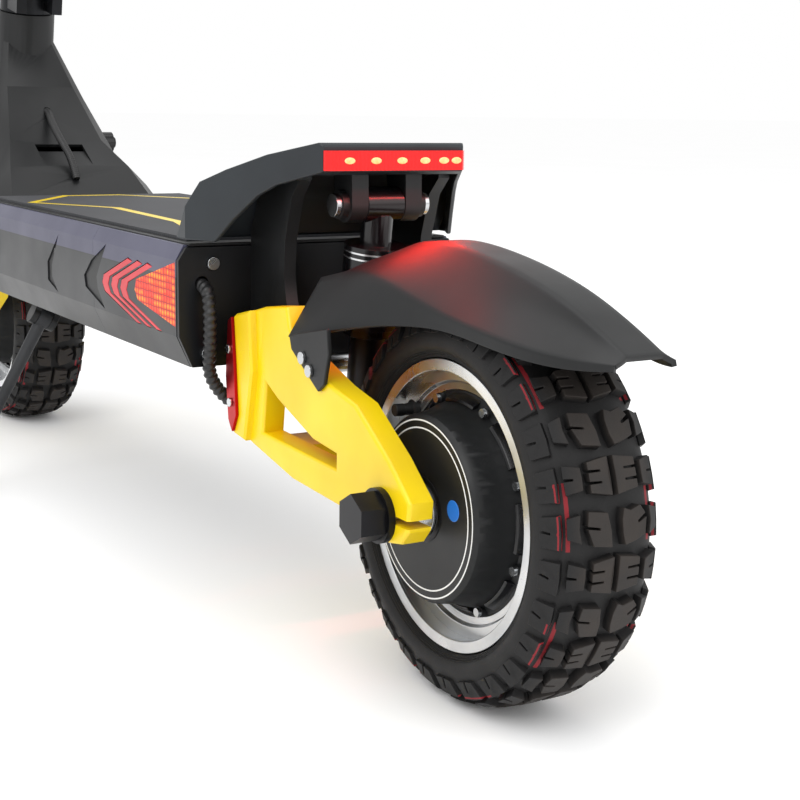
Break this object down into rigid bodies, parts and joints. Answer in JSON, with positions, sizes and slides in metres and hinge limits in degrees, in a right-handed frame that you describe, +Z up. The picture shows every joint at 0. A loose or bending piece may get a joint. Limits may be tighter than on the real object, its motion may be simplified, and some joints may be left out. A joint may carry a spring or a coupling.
{
  "type": "electric kick scooter",
  "caption": "Folding electric kick scooter with hub-motor wheels, sprung swing arms, wide deck, raised tail with lamp, and a tall folding stem.",
  "frame": {"origin": "on the ground, under the middle of the scooter's box", "axes": "+X forward, +Y to the rider's left, +Z up"},
  "size_m": [1.2789, 0.62, 1.3059],
  "materials": {
    "black_frame": "satin",
    "black_plastic": "matte",
    "grey_side": "satin",
    "yellow_paint": "satin",
    "red_anodised": "satin",
    "machined_alloy": "satin",
    "steel": "satin",
    "tyre_rubber": "matte",
    "rubber": "matte",
    "mat_grey": "matte",
    "mat_yellow": "matte",
    "red_lens": "gloss",
    "amber_lens": "gloss",
    "circuit": "gloss",
    "cell_wrap": "gloss"
  },
  "bodies": {
    "deck": {"deck_frame": "black_frame", "deck_cover": "black_frame", "deck_mat": "mat_grey", "mat_stripes": "mat_yellow", "rear_end_plate": "black_frame", "corner_covers": "black_plastic", "side_panels": "grey_side", "side_reflectors": "amber_lens", "tail_bracket": "black_frame", "frame_bolts": "steel", "tail_cover": "black_plastic", "tail_lens": "red_lens", "tail_led_board": "circuit", "battery_pack": "cell_wrap", "motor_controllers": "machined_alloy", "charge_port": "black_plastic", "neck": "black_frame", "head_bearings": "steel", "frame_conduit": "rubber", "neck_cable": "rubber"},
    "kickstand_leg": {"kickstand": "black_frame"},
    "charge_door": {"charge_cap": "black_plastic"},
    "rear_arm": {"rear_swing_arm": "yellow_paint", "arm_trims": "red_anodised", "arm_screws": "steel", "rear_fender": "black_plastic", "rear_axle": "steel", "rear_axle_nuts": "black_plastic", "rear_brake_caliper": "black_plastic", "arm_conduit": "rubber"},
    "rear_wheel": {"rear_tyre": "tyre_rubber", "rear_rim": "black_frame", "rear_hub_covers": "black_frame", "rear_hub_screws": "steel", "rear_brake_disc": "steel"},
    "rear_shock_upper": {"rear_shock_body": "black_frame"},
    "rear_shock_lower": {"rear_shock_rod": "black_frame"},
    "steering": {"fork": "black_frame", "front_fender": "black_plastic", "headlight": "black_plastic", "stem_base": "black_frame"},
    "front_arm": {"front_swing_arm": "yellow_paint", "front_axle": "steel", "front_brake_caliper": "black_plastic"},
    "front_wheel": {"front_tyre": "tyre_rubber", "front_rim": "black_frame", "front_hub_covers": "black_frame", "front_brake_disc": "steel"},
    "front_shock_upper": {"front_shock_bodies": "black_frame"},
    "front_shock_lower": {"front_shock_rods": "steel"},
    "stem": {"stem_tube": "black_frame", "handlebar": "black_frame", "grips": "rubber", "display": "black_plastic"},
    "fold_latch": {"fold_lever": "black_plastic"},
    "brake_left": {"brake_lever_left": "black_plastic"},
    "brake_right": {"brake_lever_right": "black_plastic"},
    "thumb_throttle": {"throttle_lever": "black_plastic"},
    "horn_key": {"horn_button": "black_plastic"},
    "light_key": {"light_button": "black_plastic"}
  },
  "joints": [
    {"name": "rear_arm_pivot", "type": "hinge", "parent": "deck", "child": "rear_arm", "pos_m": [-0.2945, 0, 0.1855], "axis": [0, 1, 0], "range_deg": [-4, 12], "stiffness_Nm_per_rad": 230, "springref_deg": -5.73},
    {"name": "rear_wheel_spin", "type": "hinge", "parent": "rear_arm", "child": "rear_wheel", "pos_m": [-0.4895, 0, 0.1275], "axis": [0, 1, 0], "continuous": true},
    {"name": "rear_shock_swing", "type": "hinge", "parent": "deck", "child": "rear_shock_upper", "pos_m": [-0.3445, 0, 0.3025], "axis": [0, 1, 0], "range_deg": [-6, 8]},
    {"name": "rear_shock_slide", "type": "slide", "parent": "rear_shock_upper", "child": "rear_shock_lower", "axis": [0.136, 0, -0.9907], "range_m": [-0.012, 0.005]},
    {"name": "steering_turn", "type": "hinge", "parent": "deck", "child": "steering", "pos_m": [0.455, 0, 0.415], "axis": [-0.2079, 0, 0.9781], "range_deg": [-25, 25]},
    {"name": "front_arm_pivot", "type": "hinge", "parent": "steering", "child": "front_arm", "pos_m": [0.3455, 0, 0.1835], "axis": [0, -1, 0], "range_deg": [-4, 11], "stiffness_Nm_per_rad": 200, "springref_deg": -5.73},
    {"name": "front_wheel_spin", "type": "hinge", "parent": "front_arm", "child": "front_wheel", "pos_m": [0.4955, 0, 0.1275], "axis": [0, 1, 0], "continuous": true},
    {"name": "front_shock_swing", "type": "hinge", "parent": "steering", "child": "front_shock_upper", "pos_m": [0.4625, 0, 0.3205], "axis": [0, 1, 0], "range_deg": [-6, 8]},
    {"name": "front_shock_slide", "type": "slide", "parent": "front_shock_upper", "child": "front_shock_lower", "axis": [-0.1731, 0, -0.9849], "range_m": [-0.026, 0.01]},
    {"name": "stem_fold", "type": "hinge", "parent": "steering", "child": "stem", "pos_m": [0.39633, 0, 0.49863], "axis": [0, -1, 0], "range_deg": [0, 80]},
    {"name": "fold_latch_open", "type": "hinge", "parent": "steering", "child": "fold_latch", "pos_m": [0.47433, 0, 0.48761], "axis": [0, 1, 0], "range_deg": [0, 100]},
    {"name": "brake_left_pull", "type": "hinge", "parent": "stem", "child": "brake_left", "pos_m": [0.31887, 0.168, 1.27186], "axis": [0, 0, 1], "range_deg": [0, 11], "stiffness_Nm_per_rad": 0.8, "springref_deg": -14.32},
    {"name": "brake_right_pull", "type": "hinge", "parent": "stem", "child": "brake_right", "pos_m": [0.31887, -0.168, 1.27186], "axis": [0, 0, -1], "range_deg": [0, 11], "stiffness_Nm_per_rad": 0.8, "springref_deg": -14.32},
    {"name": "throttle_push", "type": "hinge", "parent": "stem", "child": "thumb_throttle", "pos_m": [0.27287, -0.144, 1.27186], "axis": [0, -1, 0], "range_deg": [0, 35], "stiffness_Nm_per_rad": 0.15, "springref_deg": -17.19},
    {"name": "horn_press", "type": "slide", "parent": "stem", "child": "horn_key", "axis": [1, 0, 0], "range_m": [0, 0.002], "stiffness_N_per_m": 400, "springref_m": -0.001},
    {"name": "light_press", "type": "slide", "parent": "stem", "child": "light_key", "axis": [1, 0, 0], "range_m": [0, 0.002], "stiffness_N_per_m": 400, "springref_m": -0.001},
    {"name": "kickstand_fold", "type": "hinge", "parent": "deck", "child": "kickstand_leg", "pos_m": [0.1455, 0.084, 0.166], "axis": [0.0533, 0.8881, 0.4565], "range_deg": [0, 92]},
    {"name": "charge_cap_open", "type": "hinge", "parent": "deck", "child": "charge_door", "pos_m": [0.2035, 0.1174, 0.2495], "axis": [1, 0, 0], "range_deg": [0, 120]}
  ],
  "couplings": [
    {"joint": "rear_shock_swing", "follows": "rear_arm_pivot", "ratio": 0.19488},
    {"joint": "rear_shock_slide", "follows": "rear_arm_pivot", "m_per_rad": -0.035453},
    {"joint": "front_shock_swing", "follows": "front_arm_pivot", "ratio": -0.03868},
    {"joint": "front_shock_slide", "follows": "front_arm_pivot", "m_per_rad": -0.092014}
  ]
}
